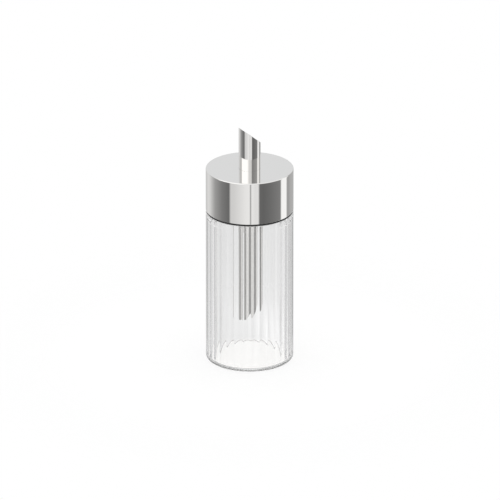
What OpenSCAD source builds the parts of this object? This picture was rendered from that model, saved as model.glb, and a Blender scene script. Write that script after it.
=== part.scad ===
// Sugar shaker: fluted glass jar, screw lid and slant-cut pouring tube.
// Millimetres, +Z up. The origin is the middle of the base, on the table.
// +X is the side to which the tube's upper mouth faces.

/* [Jar] */
// Width of the jar over the crests of its flutes; the lid is as wide
jar_d = 60; // [56:1:80]
// Height of the fluted body, from the table to the shoulder
body_h = 107.7; // [90:0.1:140]
// Glass between the inside and the crests
jar_wall = 3; // [2.6:0.1:4.6]
// Glass under the sugar
jar_floor = 1.5; // [1.2:0.1:8]
// Rounding of the outer edge of the base
base_round = 2.7; // [1:0.1:4]
// Rounding between the floor and the wall inside
floor_round = 1.7; // [1:0.1:8]
// Rounding of the shoulder's outer edge
shoulder_round = 0.8; // [0.7:0.1:1.2]
// Radius of the hollow under the base
punt_r = 25; // [10:0.5:26]
// Depth of the hollow at the middle of the base
punt_depth = 0.3; // [0.2:0.1:1]

/* [Flutes] */
// Number of flutes round the jar
flute_count = 32; // [24:4:40]
// Depth of a flute below its crests
flute_depth = 0.4; // [0.25:0.05:0.5]
// Plain strip of glass left on each crest
crest_w = 0.3; // [0.2:0.05:0.6]

/* [Neck] */
// Height of the screw neck above the shoulder
neck_h = 20; // [18:0.5:22]
// Wall of the neck
neck_wall = 2.3; // [1.8:0.1:3]
// Height of the slope inside, from the body to the neck
slope_h = 5; // [3:0.5:10]
// Rounding of the neck's rim
rim_round = 0.8; // [0.3:0.1:0.9]
// Rise of the screw thread, left free between the neck and the liner
thread_depth = 1; // [0.8:0.1:1.2]
// Room between the thread's crest and the wall facing it
thread_gap = 0.3; // [0.2:0.05:0.5]

/* [Lid] */
// Height of the steel cap
lid_h = 30; // [29:0.5:36]
// Sheet thickness of the cap
lid_sheet = 0.8; // [0.5:0.1:1]
// Rounding of the cap's top edge
lid_round = 0.7; // [0.5:0.1:2]
// Sleeve of the plastic liner
liner_wall = 1.5; // [1.2:0.1:2]
// Web of the liner over the neck
web_t = 2; // [1.5:0.1:2.5]
// How far the liner stays back from the cap's lower edge
liner_back = 0.6; // [0.3:0.1:1.5]
// Number of ribs on the web
rib_count = 8; // [4:1:12]
// Thickness of a rib
rib_t = 1.2; // [0.8:0.1:2]
// Outer radius of the boss round the tube
boss_r = 11.5; // [10.5:0.1:14]
// Room between the liner and the cap
liner_fit = 0.05; // [0.02:0.01:0.1]

/* [Seals] */
// Thickness of the ring on the shoulder
seal_t = 1.4; // [0.6:0.1:2]
// How far that ring stays back from the jar's crests
seal_back = 0.5; // [0.5:0.1:1.5]
// Room between that ring and the cap's lower edge
seal_gap = 0.1; // [0.05:0.05:0.3]
// Room between that ring and the neck
seal_fit = 0.1; // [0.05:0.05:0.3]
// Thickness of the gasket on the rim
gasket_t = 2; // [1.5:0.1:2.5]
// Width of the gasket
gasket_w = 3; // [2.6:0.1:3.2]
// Room above and below the gasket
gasket_gap = 0.05; // [0.02:0.01:0.1]
// Room between the gasket and the liner
gasket_fit = 0.3; // [0.2:0.05:0.5]

/* [Tube] */
// Outside diameter of the pouring tube
tube_d = 15; // [12:0.5:16]
// Wall of the tube
tube_wall = 0.8; // [0.5:0.1:1.5]
// Slant of both cut ends, from level
cut_angle = 40; // [10:1:50]
// Height of the upper cut above the cap, at the middle of the tube
spout_up = 24; // [12:0.5:40]
// Height of the lower cut above the table, at the middle of the tube
tube_low = 35.2; // [20:0.1:60]
// Room between the tube and the holes that it goes through
tube_fit = 0.05; // [0.03:0.01:0.2]
// Outer radius of the collar on the tube
collar_r = 11; // [10:0.1:13]
// Thickness of the collar
collar_t = 1.5; // [1:0.1:2]
// Room round the collar
collar_gap = 0.05; // [0.02:0.01:0.1]
// Room between the collar and the tube, filled by braze
collar_fit = 0.02; // [0.01:0.01:0.05]
// Thickness of the ring seal's cord
cord_d = 1.8; // [1.2:0.1:2]
// Room between the ring seal and what it lies against
cord_fit = 0.05; // [0.02:0.01:0.1]

/* [Hidden] */
$fn = 96;
// Reach of a cutter past the face that it opens
cut = 1;
// How much wider than the crests the rounded block is, so that its edges run clear across them
block_over = 0.1;

jar_r = jar_d / 2;
inner_r = jar_r - jar_wall;
tube_r = tube_d / 2;

// The lid's ring of parts, from the outside in
shell_in_r = jar_r - lid_sheet;
liner_out_r = shell_in_r - liner_fit;
liner_in_r = liner_out_r - liner_wall;
neck_r = liner_in_r - thread_gap - thread_depth;
neck_in_r = neck_r - neck_wall;

// Heights of the stack over the shoulder
lid_low = body_h + seal_t + seal_gap;
lid_top = lid_low + lid_h;
shell_under = lid_top - lid_sheet;
rim_z = body_h + neck_h;
web_z = rim_z + gasket_t + 2 * gasket_gap;
collar_z = shell_under - collar_gap - collar_t;
boss_top = collar_z - collar_gap;
cord_seat = cord_d + 2 * cord_fit;

// The round cutter of one flute meets the crests at the edge of their strip
flute_half = 180 / flute_count - crest_w / 2 / jar_r * 180 / PI;
valley_r = jar_r - flute_depth;
flute_r = (pow(jar_r, 2) + pow(valley_r, 2) - 2 * jar_r * valley_r * cos(flute_half))
    / (2 * (jar_r * cos(flute_half) - valley_r));

spout_z = lid_top + spout_up;

// Half section of a round block: radius r, from z0 to z1, outer edge rounded by e0 below and e1 above
module half_block(r, z0, z1, e0, e1) {
    translate([0, z0 + e0])
        square([r, z1 - z0 - e0 - e1]);
    if (e0 > 0) {
        translate([0, z0])
            square([r - e0, e0]);
        translate([r - e0, z0 + e0])
            circle(e0);
    }
    if (e1 > 0) {
        translate([0, z1 - e1])
            square([r - e1, e1]);
        translate([r - e1, z1 - e1])
            circle(e1);
    }
}

// Half section of a flat ring from radius r0 to r1, standing at z0 and t thick
module half_ring(r0, r1, z0, t) {
    translate([r0, z0])
        square([r1 - r0, t]);
}

// Half section of the space inside the jar, and of the very shallow cone under its base
module half_hollow() {
    half_block(inner_r, jar_floor, body_h - slope_h, floor_round, 0);
    polygon([
        [0, body_h - slope_h - cut],
        [inner_r, body_h - slope_h - cut],
        [inner_r, body_h - slope_h],
        [neck_in_r, body_h],
        [neck_in_r, rim_z + cut],
        [0, rim_z + cut]
    ]);
    polygon([
        [0, -cut],
        [punt_r, -cut],
        [punt_r, 0],
        [0, punt_depth]
    ]);
}

// Cross-section of the body: each flute is a round groove, and the first lies on +X
module fluted_disc() {
    difference() {
        circle(jar_r);
        for (i = [0 : flute_count - 1])
            rotate(i * 360 / flute_count)
                translate([valley_r + flute_r, 0])
                    circle(flute_r);
    }
}

// Fluted body whose ends run out in a rounded block, with the neck on top and one hollow through both
module glass_jar() {
    color([0.86, 0.9, 0.9, 0.35])
        difference() {
            union() {
                intersection() {
                    translate([0, 0, -cut])
                        linear_extrude(body_h + 2 * cut)
                            fluted_disc();
                    rotate_extrude()
                        half_block(jar_r + block_over, 0, body_h, base_round, shoulder_round);
                }
                rotate_extrude()
                    half_block(neck_r, body_h - cut, rim_z, 0, rim_round);
            }
            rotate_extrude()
                half_hollow();
        }
}

// Ring on the shoulder, seen as the dark line under the lid
module shoulder_seal() {
    color([0.06, 0.06, 0.06])
        rotate_extrude()
            half_ring(neck_r + seal_fit, jar_r - seal_back, body_h, seal_t);
}

// Flat ring between the neck's rim and the liner, held in by the thread below it
module rim_gasket() {
    color([0.75, 0.75, 0.72])
        rotate_extrude()
            half_ring(liner_in_r - gasket_fit - gasket_w, liner_in_r - gasket_fit,
                      rim_z + gasket_gap, gasket_t);
}

module lid_shell() {
    color([0.8, 0.8, 0.79])
        rotate_extrude()
            difference() {
                half_block(jar_r, lid_low, lid_top, 0, lid_round);
                half_block(shell_in_r, lid_low - cut, shell_under, 0, max(lid_round - lid_sheet, 0));
                translate([0, lid_low])
                    square([tube_r + tube_fit, lid_h + cut]);
            }
}

// Sleeve, web and boss turned in one piece, with upright ribs between boss and sleeve
module thread_liner() {
    color([0.1, 0.1, 0.11]) {
        rotate_extrude()
            difference() {
                union() {
                    half_ring(liner_in_r, liner_out_r, lid_low + liner_back,
                              shell_under - lid_round - lid_low - liner_back);
                    half_ring(tube_r + tube_fit, liner_in_r, web_z, web_t);
                    half_ring(tube_r + tube_fit, boss_r, web_z, boss_top - web_z);
                }
                half_ring(tube_r, tube_r + cord_seat, boss_top - cord_seat, cord_seat + cut);
            }
        for (i = [0 : rib_count - 1])
            rotate((i + 0.5) * 360 / rib_count)
                translate([boss_r - cut / 2, -rib_t / 2, web_z + web_t / 2])
                    cube([liner_in_r - boss_r + cut, rib_t, boss_top - web_z - web_t / 2]);
    }
}

module tube_collar() {
    color([0.72, 0.72, 0.72])
        rotate_extrude()
            half_ring(tube_r + collar_fit, collar_r, collar_z, collar_t);
}

module tube_seal() {
    color([0.7, 0.3, 0.2])
        rotate_extrude()
            translate([tube_r + cord_fit + cord_d / 2, boss_top - cord_seat / 2])
                circle(d = cord_d);
}

// Long tube with both ends cut at the same slant, mirrored, so that the -X side is the long one
module spout_tube() {
    reach = 2 * tube_d;
    color([0.82, 0.82, 0.81])
        difference() {
            translate([0, 0, tube_low - reach])
                cylinder(r = tube_r, h = spout_z - tube_low + 2 * reach);
            translate([0, 0, tube_low - reach - cut])
                cylinder(r = tube_r - tube_wall, h = spout_z - tube_low + 2 * (reach + cut));
            translate([0, 0, spout_z])
                rotate([0, cut_angle, 0])
                    translate([-2 * reach, -2 * reach, 0])
                        cube(4 * reach);
            translate([0, 0, tube_low])
                rotate([0, -cut_angle, 0])
                    translate([-2 * reach, -2 * reach, -4 * reach])
                        cube(4 * reach);
        }
}

glass_jar();
shoulder_seal();
rim_gasket();
lid_shell();
thread_liner();
tube_collar();
tube_seal();
spout_tube();
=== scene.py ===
"""Looks of a sugar shaker: fluted glass jar, polished screw lid and slant-cut pouring tube.

Everything is in metres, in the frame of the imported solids: +Z up, the origin in the middle of the base.
"""

import math

import bpy
import numpy as np
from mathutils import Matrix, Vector


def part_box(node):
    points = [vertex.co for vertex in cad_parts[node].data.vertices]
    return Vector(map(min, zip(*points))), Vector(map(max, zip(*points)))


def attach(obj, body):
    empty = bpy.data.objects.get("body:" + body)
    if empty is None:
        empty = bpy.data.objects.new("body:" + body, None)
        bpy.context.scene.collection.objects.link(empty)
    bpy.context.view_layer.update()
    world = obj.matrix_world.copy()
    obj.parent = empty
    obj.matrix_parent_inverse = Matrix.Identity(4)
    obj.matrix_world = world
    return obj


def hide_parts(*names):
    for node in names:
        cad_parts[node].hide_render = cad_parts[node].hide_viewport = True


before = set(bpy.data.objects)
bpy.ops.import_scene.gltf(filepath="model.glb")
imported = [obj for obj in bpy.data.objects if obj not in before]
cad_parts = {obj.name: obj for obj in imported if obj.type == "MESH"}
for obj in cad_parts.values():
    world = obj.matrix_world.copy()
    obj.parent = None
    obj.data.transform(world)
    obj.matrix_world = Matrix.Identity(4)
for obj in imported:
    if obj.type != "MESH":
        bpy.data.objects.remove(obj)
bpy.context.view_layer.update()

MM = 0.001
FULL_TURN = 2 * math.pi

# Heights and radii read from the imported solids
shell_low, shell_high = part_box("lid_shell")
jar_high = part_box("glass_jar")[1]
seal_low, seal_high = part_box("shoulder_seal")
gasket_low, gasket_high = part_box("rim_gasket")
tube_low, tube_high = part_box("spout_tube")
jar_r = shell_high.x
lid_low_z = shell_low.z
lid_top_z = shell_high.z
shoulder_z = seal_low.z
rim_z = jar_high.z
tube_r = tube_high.x

# Jar
jar_wall = 3 * MM
jar_floor = 1.5 * MM
base_round = 2.7 * MM
floor_round = 1.7 * MM
shoulder_round = 0.3 * MM
inner_r = jar_r - jar_wall

# Hollow under the base, with rings of points at shares of its radius, and the floor's innermost ring
punt_r = 25 * MM
punt_depth = 0.3 * MM
punt_shares = (0.05, 0.35, 0.7, 0.97)
floor_hub_r = 1 * MM

# Flutes. Their columns of points crowd at the crests, whose edges are blended over. Between the two fade
# heights the flutes run out, which leaves a plain ring at the base.
flute_count = 32
flute_depth = 0.4 * MM
flute_columns = 20
crest_w = 0.3 * MM
crest_blend = 0.15 * MM
crest_crowding = 0.75
fade_low = 2.8 * MM
fade_high = 7 * MM
fade_rows = 14

# Neck, and what lies round it from the outside in
lid_sheet = 0.8 * MM
liner_fit = 0.05 * MM
liner_wall = 1.5 * MM
thread_gap = 0.3 * MM
thread_depth = 1 * MM
neck_wall = 2.3 * MM
liner_in_r = jar_r - lid_sheet - liner_fit - liner_wall
neck_r = liner_in_r - thread_gap - thread_depth
neck_in_r = neck_r - neck_wall
neck_fillet = 0.5 * MM
rim_round = 0.8 * MM
slope_h = 5 * MM
slope_top_round = 2 * MM
slope_low_round = 3 * MM

# Screw thread on the neck, whose ridge fades in and out over an angle, and the one in the liner
thread_pitch = 4 * MM
thread_turns = 1.3
thread_base_w = 1.7 * MM
thread_crest_w = 0.8 * MM
thread_fade = math.radians(25)
thread_step = 0.3 * MM
thread_up = 3.6 * MM
thread_z = shoulder_z + thread_up
thread_sweep = thread_turns * FULL_TURN
liner_root = 0.4 * MM
liner_crest_back = 0.05 * MM
liner_thread_steps = 120

# Lid and rings
lid_round = 0.7 * MM
lid_corner_round = 0.2 * MM
edge_break = 0.2 * MM
hole_fit = 0.01 * MM
hole_top_round = 0.01 * MM
hole_low_round = 0.1 * MM
seal_fit = 0.1 * MM
seal_air = 0.04 * MM
seal_round = 0.2 * MM
gasket_w = 3 * MM
gasket_round = 0.3 * MM

# Tube. The points of its broken edges are (across the wall, back from the end), in lips.
tube_wall = 0.8 * MM
tube_lip = 0.15 * MM
lip_points = ((0, 4), (0, 1.4), (0, 1), (0.3, 0.3), (1, 0), (1.4, 0))
cut_angle = math.radians(40)
cut_rise = tube_r * math.tan(cut_angle)

# Fineness of turned meshes, and how far from an arc's ends its straight neighbours are held
arc_steps = 8
hold = 0.01 * MM
ring_columns = 256
tube_columns = 192
table_columns = 96

# Finishes
steel_colour = (0.86, 0.85, 0.835, 1)
bore_rough = 0.42

# Camera, at the photograph's angle and almost without perspective. Clip limits are shares of its distance.
view_azimuth = math.radians(-30)
view_elevation = math.radians(22)
view_right = (math.cos(view_azimuth), math.sin(view_azimuth), 0)
view_front = (math.sin(view_azimuth), -math.cos(view_azimuth), 0)
view_back = (-math.sin(view_azimuth), math.cos(view_azimuth), 0)
frame_width = 342.3 * MM
aim_z = 78.6 * MM
aim_right = 0.25 * MM
lens = 1200
sensor = 36
clip_near = 0.1
clip_far = 2

# Soft boxes and dark flags of the studio, as polished metal shows them: brightness at bearings in degrees,
# from the camera's side to the right. The low ones blend into the high ones, and these into a white roof,
# each between two upward parts of the direction. The lid's flat top mirrors back_grey.
back_grey = (0.79, 0.8, 0.812, 1)
low_light = (
    (-180, 0.56), (-162, 0.62), (-150, 0.69), (-140, 0.78), (-128, 0.72), (-104, 0.37), (-78, 0.22),
    (-56, 0.155), (-51, 0.7), (-43, 0.71), (-32, 0.77), (-21, 0.835), (-11, 0.895), (-0.1, 0.925),
    (1, 0.42), (3.6, 0.42), (4.7, 0.9), (9, 0.89), (15, 0.83), (22.5, 0.85), (26.5, 0.15), (37, 0.14),
    (57, 0.17), (72, 0.2), (89, 0.235), (93, 1.05), (113, 1.05), (116, 0.4), (126, 0.39), (134, 0.46),
    (180, 0.5))
high_light = (
    (-180, back_grey), (-130, back_grey), (-112, 0.62), (-98, 0.66), (-91, 0.8), (-87, 1.38), (-24, 1.38),
    (-10, 0.98), (0, 0.83), (18, 0.84), (26, 0.26), (53, 0.33), (84, 0.4), (91, 1.1), (115, 1.1),
    (119, 0.5), (136, 0.5), (150, back_grey), (180, back_grey))
low_to_high = (-0.05, 0.15)
high_to_roof = (0.55, 0.75)

# The room as the glass shows it. Light that only went through glass sees the backdrop. Light mirrored once
# sees wall_light if it met few faces of glass, as in the jar's wall, and otherwise the studio behind a veil.
backdrop_grey = 0.836
wall_light = (
    (-180, 0.3), (-160, 0.36), (-150, 0.6), (-140, 0.82), (-128, 0.78), (-104, 0.46), (-90, 0.39),
    (90, 1.02), (113, 1.02), (116, 0.5), (126, 0.6), (140, 0.66), (150, 0.55), (160, 0.38), (180, 0.32))
wall_passes = 2
glass_veil = 0.17
veil_grey = 0.9

# Light lost to and fro in the glass sees an even grey where it leaves steeply downwards, otherwise base_light
lost_grey = 0.62
base_light = ((-180, 1.4), (-150, 1.4), (-130, 0.66), (130, 0.66), (150, 1.4), (180, 1.4))
base_up = (-0.3, -0.2)
glass_bounces = 64

# The table as the glass shows it: a pool of light under the jar, then a strip whose brightness changes
# across the view, at places in millimetres to the right of the axis, and behind it an even grey
table_r = 220 * MM
table_drop = 0.02 * MM
pool_light = (1.03, 1.02, 1.003, 1)
pool_edge = (27 * MM, 33 * MM)
strip_light = ((-70, 0.5), (-40, 0.68), (-25, 0.79), (0, 0.738), (25, 0.94), (40, 0.78), (70, 0.5))
strip_edge = (60 * MM, 110 * MM)
behind_light = 0.757

# The table's own glow and matt share, what mirrored light sees of it, and where it fades into the room
table_glow = 0.858
table_matt = 0.16
mirrored_light = 0.55
camera_fade = (110 * MM, 215 * MM)
through_fade = (90 * MM, 215 * MM)
mirrored_fade = (30 * MM, 60 * MM)


# Meshes

def mesh_object(name, points, faces):
    """A smooth-shaded object from points and faces, linked to the scene."""
    mesh = bpy.data.meshes.new(name)
    mesh.from_pydata([tuple(p) for p in points], [], faces)
    mesh.validate()
    mesh.shade_smooth()
    obj = bpy.data.objects.new(name, mesh)
    bpy.context.scene.collection.objects.link(obj)
    return obj


def rounded(corners, closed):
    """A half section through corners (r, z, rounding), with a held point beside both ends of each arc."""
    count = len(corners)
    outline = []
    for i, (r, z, rounding) in enumerate(corners):
        here = Vector((r, z))
        if not closed and i in (0, count - 1):
            outline.append(here)
            continue
        before = Vector(corners[i - 1][:2]) - here
        after = Vector(corners[(i + 1) % count][:2]) - here
        half_angle = before.angle(after) / 2
        before.normalize()
        after.normalize()
        reach = rounding / math.tan(half_angle)
        start = here + before * reach
        end = here + after * reach
        middle = here + (before + after).normalized() * rounding / math.sin(half_angle)
        outline.append(start + before * hold)
        first = start - middle
        sweep = first.angle_signed(end - middle)
        for k in range(arc_steps + 1):
            turn = -sweep * k / arc_steps
            spun = Vector((first.x * math.cos(turn) - first.y * math.sin(turn),
                           first.x * math.sin(turn) + first.y * math.cos(turn)))
            outline.append(middle + spun)
        outline.append(end + after * hold)
    return [(p.x, p.y) for p in outline]


def skin(name, rows, closed):
    """Joins rows of points, each a closed ring. The last row joins the first, or both ends are capped."""
    columns = len(rows[0])
    points = [p for row in rows for p in row]
    pairs = len(rows) if closed else len(rows) - 1
    faces = []
    for i in range(pairs):
        a = i * columns
        b = (i + 1) % len(rows) * columns
        for k in range(columns):
            n = (k + 1) % columns
            faces.append((a + k, a + n, b + n, b + k))
    if not closed:
        last = (len(rows) - 1) * columns
        faces.append(tuple(range(columns - 1, -1, -1)))
        faces.append(tuple(range(last, last + columns)))
    return mesh_object(name, points, faces)


def ring_angles(columns):
    """Evenly spaced angles round the axis."""
    return np.arange(columns) * FULL_TURN / columns


def flute_angles():
    """Angles round the jar, with the same columns in every flute, close together at the crests."""
    pitch = FULL_TURN / flute_count
    even = np.linspace(-1, 1, flute_columns, endpoint=False)
    spread = pitch / 2 * (even + crest_crowding * np.sin(math.pi * even) / math.pi)
    return np.concatenate([spread + pitch * i for i in range(flute_count)])


def ring_row(radius, height, angles):
    """One ring of points; radius and height are numbers or arrays over the angles."""
    radius = np.broadcast_to(radius, angles.shape)
    height = np.broadcast_to(height, angles.shape)
    return np.stack((radius * np.cos(angles), radius * np.sin(angles), height), 1)


def turned(name, corners):
    """A ring turned round the axis from a closed half section."""
    angles = ring_angles(ring_columns)
    return skin(name, [ring_row(r, z, angles) for r, z in rounded(corners, True)], True)


def smooth_least(a, b, blend):
    """The lesser of two values, with the corner between them rounded over."""
    share = np.clip(0.5 + 0.5 * (b - a) / blend, 0, 1)
    return b + (a - b) * share - blend * share * (1 - share)


def flute_radius(angles):
    """Distance from the axis to the round grooves, the first of which lies on +X."""
    pitch = FULL_TURN / flute_count
    half = pitch / 2 - crest_w / 2 / jar_r
    valley = jar_r - flute_depth
    groove = ((jar_r ** 2 + valley ** 2 - 2 * jar_r * valley * math.cos(half))
              / (2 * (jar_r * math.cos(half) - valley)))
    centre = valley + groove
    off = (angles + pitch / 2) % pitch - pitch / 2
    return centre * np.cos(off) - np.sqrt(groove ** 2 - (centre * np.sin(off)) ** 2)


def thread_rise(angles, height):
    """How far the neck's screw ridge stands up at each angle, at a height."""
    rise = np.zeros_like(angles)
    flank = (thread_base_w - thread_crest_w) / 2
    for turn in range(math.ceil(thread_turns)):
        along = angles + FULL_TURN * turn
        off = np.abs(height - thread_z - along / FULL_TURN * thread_pitch)
        ridge = np.clip((thread_base_w / 2 - off) / flank, 0, 1)
        ends = np.clip(np.minimum(along, thread_sweep - along) / thread_fade, 0, 1)
        rise = np.maximum(rise, thread_depth * ridge * ends)
    return rise


def make_jar():
    """One closed skin of glass: hollow base, flutes, shoulder, threaded neck, and the smooth inside."""
    angles = flute_angles()
    flutes = flute_radius(angles)
    thread_low = thread_z - thread_base_w
    thread_high = thread_z + thread_turns * thread_pitch + thread_base_w

    def fluted(r, z):
        """A ring of the half section, pressed in where the flutes reach it, which fade towards the base."""
        share = np.clip((z - fade_low) / (fade_high - fade_low), 0, 1)
        depth = (jar_r - flutes) * share ** 2 * (3 - 2 * share)
        return ring_row(smooth_least(r, jar_r - depth, crest_blend), z, angles)

    hollow = [(punt_r * share, punt_depth * (1 - share)) for share in punt_shares]
    base = rounded([
        (punt_r, 0, 0),
        (jar_r, 0, base_round),
        (jar_r, fade_low, 0),
    ], False)
    run_out = [(jar_r, z) for z in np.linspace(fade_low, fade_high, fade_rows)[1:-1]]
    shoulder = rounded([
        (jar_r, fade_high, 0),
        (jar_r, shoulder_z, shoulder_round),
        (neck_r, shoulder_z, neck_fillet),
        (neck_r, thread_low, 0),
    ], False)
    inside = rounded([
        (neck_r, thread_high, 0),
        (neck_r, rim_z, rim_round),
        (neck_in_r, rim_z, rim_round),
        (neck_in_r, shoulder_z, slope_top_round),
        (inner_r, shoulder_z - slope_h, slope_low_round),
        (inner_r, jar_floor, floor_round),
        (floor_hub_r, jar_floor, 0),
    ], False)
    rows = [fluted(r, z) for r, z in hollow + base + run_out + shoulder]
    for z in np.arange(thread_low + thread_step, thread_high, thread_step):
        rows.append(ring_row(neck_r + thread_rise(angles, z), z, angles))
    rows += [fluted(r, z) for r, z in inside]
    return skin("jar_glass", rows, False)


def make_lid_shell():
    """The steel cap: a thin turned shell with a hole for the tube."""
    hole_r = tube_r + hole_fit
    shell_in_r = jar_r - lid_sheet
    under_z = lid_top_z - lid_sheet
    return turned("lid_cap", [
        (hole_r, lid_top_z, hole_top_round),
        (hole_r, under_z, hole_low_round),
        (shell_in_r, under_z, lid_corner_round),
        (shell_in_r, lid_low_z, edge_break),
        (jar_r, lid_low_z, edge_break),
        (jar_r, lid_top_z, lid_round),
    ])


def make_flat_ring(name, low, high, inner, rounding, lift=0.0):
    """A ring with broken edges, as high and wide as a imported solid; lift leaves air under it."""
    return turned(name, [
        (inner, low.z + lift, rounding),
        (high.x, low.z + lift, rounding),
        (high.x, high.z, rounding),
        (inner, high.z, rounding),
    ])


def make_tube():
    """Tube with both ends cut at a slant, mirrored, and every edge broken."""
    angles = ring_angles(tube_columns)
    top_z = tube_high.z - cut_rise
    low_z = tube_low.z + cut_rise
    slope = math.tan(cut_angle)

    def top(r, back):
        return ring_row(r, top_z - r * np.cos(angles) * slope - back, angles)

    def low(r, back):
        return ring_row(r, low_z + r * np.cos(angles) * slope + back, angles)

    outside = [(tube_r - across * tube_lip, back * tube_lip) for across, back in lip_points]
    bore_r = tube_r - tube_wall
    bore = [(bore_r + across * tube_lip, back * tube_lip) for across, back in lip_points]
    rows = [low(*point) for point in reversed(outside)]
    rows += [top(*point) for point in outside]
    rows += [top(*point) for point in reversed(bore)]
    rows += [low(*point) for point in bore]
    return skin("pouring_tube", rows, True)


def make_liner_thread():
    """Screw ridge of the liner, half a pitch above the one on the neck, rooted in the liner's sleeve."""
    start_z = thread_z + thread_pitch / 2
    root = liner_in_r + liner_root
    half_base = thread_base_w / 2
    half_crest = thread_crest_w / 2
    rows = []
    for i in range(liner_thread_steps + 1):
        along = thread_sweep * i / liner_thread_steps
        grown = min(1, min(along, thread_sweep - along) / thread_fade)
        crest = liner_in_r - thread_depth * grown + liner_crest_back
        z = start_z + along / FULL_TURN * thread_pitch
        section = (
            (root, -half_base), (liner_in_r, -half_base), (crest, -half_crest),
            (crest, half_crest), (liner_in_r, half_base), (root, half_base))
        rows.append([(r * math.cos(along), r * math.sin(along), z + h) for r, h in section])
    ridge = skin("liner_thread", rows, False)
    ridge.data.shade_flat()
    return ridge


# Nodes

def new_material(name):
    """A material with a Principled shader; returns it with its node tree and that shader."""
    material = bpy.data.materials.new(name)
    material.use_nodes = True
    tree = material.node_tree
    return material, tree, tree.nodes["Principled BSDF"]


def node(tree, kind, inputs=None, **settings):
    """Adds a node, with its settings and its input values or links."""
    made = tree.nodes.new(kind)
    for key, value in settings.items():
        setattr(made, key, value)
    for key, value in (inputs or {}).items():
        if isinstance(value, bpy.types.NodeSocket):
            tree.links.new(value, made.inputs[key])
        else:
            made.inputs[key].default_value = value
    return made


def maths(tree, operation, first, second):
    """One step of arithmetic on two values."""
    return node(tree, "ShaderNodeMath", {0: first, 1: second}, operation=operation).outputs["Value"]


def distance_along(tree, place, axis):
    """How far a place lies along an axis."""
    made = node(tree, "ShaderNodeVectorMath", {0: place, 1: axis}, operation="DOT_PRODUCT")
    return made.outputs["Value"]


def distance_out(tree, place):
    """How far a place lies from the origin."""
    return node(tree, "ShaderNodeVectorMath", {0: place}, operation="LENGTH").outputs["Value"]


def noise(tree, scale, stretch=(1, 1, 1), detail=4):
    """Noise over the object's own coordinates; scale is in waves a metre."""
    place = node(tree, "ShaderNodeTexCoord").outputs["Object"]
    placed = node(tree, "ShaderNodeMapping", {"Vector": place, "Scale": stretch}).outputs["Vector"]
    inputs = {"Vector": placed, "Scale": scale, "Detail": detail, "Roughness": 0.6}
    return node(tree, "ShaderNodeTexNoise", inputs).outputs["Fac"]


def ranged(tree, value, low, high, from_low=0.3, from_high=0.7):
    """Brings a value to between low and high, from the range that most of a noise lies in, or another."""
    inputs = {"Value": value, "From Min": from_low, "From Max": from_high, "To Min": low, "To Max": high}
    return node(tree, "ShaderNodeMapRange", inputs).outputs["Result"]


def colour_of(value):
    """A colour as it is, or a grey as a colour."""
    return value if isinstance(value, tuple) else (value, value, value, 1)


def mixed(tree, factor, first, second):
    """A mix of two colours, each a socket, a colour or a grey."""
    made = node(tree, "ShaderNodeMix", {"Factor": factor}, data_type="RGBA")
    for key, value in (("A", first), ("B", second)):
        if isinstance(value, bpy.types.NodeSocket):
            tree.links.new(value, made.inputs[key])
        else:
            made.inputs[key].default_value = colour_of(value)
    return made.outputs["Result"]


def bump(tree, shader, height, distance):
    """Gives a shader a relief that is so deep."""
    inputs = {"Height": height, "Distance": distance, "Strength": 1}
    tree.links.new(node(tree, "ShaderNodeBump", inputs).outputs["Normal"], shader.inputs["Normal"])


# Materials

def polished_steel(name, smooth, hazy, bore_r=0.0):
    """Polished steel with faint lines round the axis and hazy touch marks; dull inside a bore."""
    material, tree, shader = new_material(name)
    shader.inputs["Base Color"].default_value = steel_colour
    shader.inputs["Metallic"].default_value = 1
    haze = ranged(tree, noise(tree, scale=55, detail=5), smooth, hazy)
    place = node(tree, "ShaderNodeTexCoord").outputs["Object"]
    level = node(tree, "ShaderNodeVectorMath", {0: place, 1: (1, 1, 0)}, operation="MULTIPLY")
    outward = distance_out(tree, level.outputs["Vector"])
    inside = maths(tree, "LESS_THAN", outward, bore_r)
    tree.links.new(mixed(tree, inside, haze, bore_rough), shader.inputs["Roughness"])
    lines = noise(tree, scale=220, stretch=(0.25, 0.25, 40), detail=3)
    bump(tree, shader, lines, distance=0.0004 * MM)
    return material


def clear_glass():
    """Pressed glass: clear, with a slight swell in the surface and a few dulled specks."""
    material, tree, shader = new_material("clear_glass")
    shader.inputs["Base Color"].default_value = (0.99, 0.99, 0.99, 1)
    shader.inputs["Transmission Weight"].default_value = 1
    shader.inputs["IOR"].default_value = 1.5
    specks = ranged(tree, noise(tree, scale=900, detail=2), 0, 0.004, from_low=0.62, from_high=0.75)
    tree.links.new(specks, shader.inputs["Roughness"])
    swell = noise(tree, scale=70, stretch=(1, 1, 0.4), detail=2)
    bump(tree, shader, swell, distance=0.004 * MM)
    return material


def silicone(name, colour, bloom_colour):
    """Matt rubber with a mottled bloom and a fine moulded grain."""
    material, tree, shader = new_material(name)
    bloom = noise(tree, scale=400)
    mottled = mixed(tree, ranged(tree, bloom, 0, 1), colour, bloom_colour)
    tree.links.new(mottled, shader.inputs["Base Color"])
    tree.links.new(ranged(tree, bloom, 0.55, 0.7), shader.inputs["Roughness"])
    bump(tree, shader, noise(tree, scale=6000, detail=2), distance=0.01 * MM)
    return material


def moulded_plastic():
    """Black plastic with an eroded grain and a slightly uneven gloss."""
    material, tree, shader = new_material("black_plastic")
    shader.inputs["Base Color"].default_value = (0.025, 0.025, 0.027, 1)
    tree.links.new(ranged(tree, noise(tree, scale=250), 0.35, 0.5), shader.inputs["Roughness"])
    bump(tree, shader, noise(tree, scale=3500, detail=3), distance=0.02 * MM)
    return material


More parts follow.
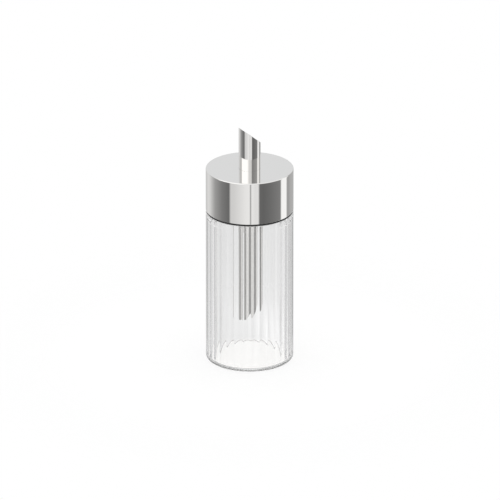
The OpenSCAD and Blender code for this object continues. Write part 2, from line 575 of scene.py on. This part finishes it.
def turned_steel():
    """Plain turned steel with visible tool lines."""
    material, tree, shader = new_material("turned_steel")
    shader.inputs["Base Color"].default_value = (0.62, 0.61, 0.6, 1)
    shader.inputs["Metallic"].default_value = 1
    tree.links.new(ranged(tree, noise(tree, scale=300), 0.22, 0.34), shader.inputs["Roughness"])
    bump(tree, shader, noise(tree, scale=900, stretch=(1, 1, 20)), distance=0.003 * MM)
    return material


# Stage

def ramp(tree, value, stops):
    """A colour ramp over a value from 0 to 1: a list of (place, grey or colour)."""
    made = node(tree, "ShaderNodeValToRGB", {"Fac": value})
    elements = made.color_ramp.elements
    while len(elements) > 1:
        elements.remove(elements[0])
    for i, (place, light) in enumerate(stops):
        element = elements[0] if i == 0 else elements.new(place)
        element.position = place
        element.color = colour_of(light)
    return made.outputs["Color"]


def horizon(tree, bearing, stops):
    """Brightness round the horizon: a list of (bearing in degrees, grey or colour)."""
    return ramp(tree, bearing, [((degrees + 180) / 360, light) for degrees, light in stops])


def deeper(tree, path, depth, count=0):
    """Is 1 for light that was mirrored or went through faces more than count times, otherwise 0."""
    return maths(tree, "GREATER_THAN", path.outputs[depth], count + 0.5)


def lost(tree, path):
    """Is 1 for light that went into glass and was mirrored more than once, otherwise 0."""
    passed = deeper(tree, path, "Transmission Depth")
    return maths(tree, "MULTIPLY", passed, deeper(tree, path, "Glossy Depth", 1))


def make_world():
    """A plain white room, with soft boxes and dark flags round it that only metal and glass show."""
    world = bpy.data.worlds.new("studio")
    bpy.context.scene.world = world
    world.use_nodes = True
    tree = world.node_tree
    direction = node(tree, "ShaderNodeTexCoord").outputs["Generated"]
    rightward = distance_along(tree, direction, view_right)
    forward = distance_along(tree, direction, view_front)
    bearing = ranged(tree, maths(tree, "ARCTAN2", rightward, forward), 0, 1, -math.pi, math.pi)
    up = distance_along(tree, direction, (0, 0, 1))

    low = horizon(tree, bearing, low_light)
    high = horizon(tree, bearing, high_light)
    sides = mixed(tree, ranged(tree, up, 0, 1, *low_to_high), low, high)
    studio = mixed(tree, ranged(tree, up, 0, 1, *high_to_roof), sides, 1)

    path = node(tree, "ShaderNodeLightPath")
    in_jar = mixed(tree, glass_veil, studio, veil_grey)
    in_wall = horizon(tree, bearing, wall_light)
    in_glass = mixed(tree, deeper(tree, path, "Transmission Depth", wall_passes), in_wall, in_jar)
    once = mixed(tree, deeper(tree, path, "Transmission Depth"), studio, in_glass)
    upward = ranged(tree, up, 0, 1, *base_up)
    in_base = mixed(tree, upward, lost_grey, horizon(tree, bearing, base_light))
    mirrored = mixed(tree, lost(tree, path), once, in_base)
    seen = mixed(tree, deeper(tree, path, "Glossy Depth"), backdrop_grey, mirrored)
    plain = maths(tree, "MAXIMUM", path.outputs["Is Camera Ray"], path.outputs["Is Diffuse Ray"])
    tree.links.new(mixed(tree, plain, seen, 1), tree.nodes["Background"].inputs["Color"])


def make_floor():
    """White table, bright enough to meet the background, which keeps a soft shadow and ends in nothing."""
    rim = ring_row(table_r, -table_drop, ring_angles(table_columns))
    floor = mesh_object("floor", rim, [tuple(range(table_columns))])
    floor.data.shade_flat()
    material, tree, shader = new_material("floor_white")
    tree.nodes.remove(shader)
    place = node(tree, "ShaderNodeTexCoord").outputs["Object"]
    outward = distance_out(tree, place)
    path = node(tree, "ShaderNodeLightPath")
    direct = path.outputs["Is Camera Ray"]
    bounced = deeper(tree, path, "Glossy Depth")

    across = ranged(tree, distance_along(tree, place, view_right), 0, 1, -table_r, table_r)
    strip = ramp(tree, across, [((mm * MM / table_r + 1) / 2, grey) for mm, grey in strip_light])
    backward = ranged(tree, distance_along(tree, place, view_back), 0, 1, *strip_edge)
    beyond = mixed(tree, backward, strip, behind_light)
    through = mixed(tree, ranged(tree, outward, 0, 1, *pool_edge), pool_light, beyond)
    mirrored = mixed(tree, lost(tree, path), mirrored_light, lost_grey)
    light = mixed(tree, direct, mixed(tree, bounced, through, mirrored), table_glow)
    glow = node(tree, "ShaderNodeEmission", {"Color": light, "Strength": 1})
    matt = node(tree, "ShaderNodeBsdfDiffuse", {"Color": colour_of(table_matt)})
    table = node(tree, "ShaderNodeAddShader")
    tree.links.new(glow.outputs["Emission"], table.inputs[0])
    tree.links.new(matt.outputs["BSDF"], table.inputs[1])

    camera_gone = ranged(tree, outward, 0, 1, *camera_fade)
    through_gone = ranged(tree, outward, 0, 1, *through_fade)
    mirrored_gone = ranged(tree, outward, 0, 1, *mirrored_fade)
    gone = mixed(tree, direct, mixed(tree, bounced, through_gone, mirrored_gone), camera_gone)
    nothing = node(tree, "ShaderNodeBsdfTransparent")
    faded = node(tree, "ShaderNodeMixShader", {"Fac": gone})
    tree.links.new(table.outputs["Shader"], faded.inputs[1])
    tree.links.new(nothing.outputs["BSDF"], faded.inputs[2])
    tree.links.new(faded.outputs["Shader"], tree.nodes["Material Output"].inputs["Surface"])
    floor.data.materials.append(material)


def make_camera():
    """A very long lens, aimed a little to the right of the axis."""
    distance = frame_width * lens / sensor
    data = bpy.data.cameras.new("camera")
    data.lens = lens
    data.sensor_width = sensor
    data.clip_start = distance * clip_near
    data.clip_end = distance * clip_far
    camera = bpy.data.objects.new("camera", data)
    bpy.context.scene.collection.objects.link(camera)
    toward = Vector((math.sin(view_azimuth) * math.cos(view_elevation),
                     -math.cos(view_azimuth) * math.cos(view_elevation),
                     math.sin(view_elevation)))
    camera.location = Vector((0, 0, aim_z)) + Vector(view_right) * aim_right + toward * distance
    camera.rotation_euler = (-toward).to_track_quat("-Z", "Y").to_euler()
    bpy.context.scene.camera = camera


# Assembly

def dress(piece, material, body, slot, *nodes):
    """Gives a piece its material, the body it moves with and the solids that it stands for; slot is not used.
    """
    piece.data.materials.clear()
    piece.data.materials.append(material)
    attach(piece, body)
    if nodes:
        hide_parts(*nodes)


def finish_node(name, material):
    """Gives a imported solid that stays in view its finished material."""
    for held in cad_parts[name].material_slots:
        held.material = material


bpy.context.scene.view_settings.view_transform = "Standard"
for limit in ("max_bounces", "glossy_bounces", "transmission_bounces"):
    setattr(bpy.context.scene.cycles, limit, glass_bounces)
make_world()
make_floor()
make_camera()

plastic = moulded_plastic()
# Near-black finish of the shoulder ring, which gives the dark line under the lid
near_black_ring = silicone("black_silicone", (0.012, 0.012, 0.012, 1), (0.03, 0.03, 0.03, 1))
white_rubber = silicone("white_silicone", (0.62, 0.62, 0.6, 1), (0.72, 0.72, 0.7, 1))
red_rubber = silicone("red_silicone", (0.35, 0.05, 0.03, 1), (0.42, 0.08, 0.05, 1))
lid_steel = polished_steel("lid_steel", smooth=0.02, hazy=0.05)
tube_steel = polished_steel("tube_steel", smooth=0.025, hazy=0.06, bore_r=tube_r - tube_wall / 2)

dress(make_jar(), clear_glass(), "jar", "clear_glass", "glass_jar")
# The shoulder ring is near black and gives the dark line under the lid
dress(make_flat_ring("shoulder_ring", seal_low, seal_high, neck_r + seal_fit, seal_round, seal_air),
      near_black_ring, "jar", "black_silicone", "shoulder_seal")
dress(make_flat_ring("rim_ring", gasket_low, gasket_high, gasket_high.x - gasket_w, gasket_round),
      white_rubber, "gasket", "white_silicone", "rim_gasket")
dress(make_lid_shell(), lid_steel, "lid", "polished_steel", "lid_shell")
dress(make_tube(), tube_steel, "lid", "tube_steel", "spout_tube")
dress(make_liner_thread(), plastic, "lid", "black_plastic")
finish_node("thread_liner", plastic)
finish_node("tube_collar", turned_steel())
finish_node("tube_seal", red_rubber)
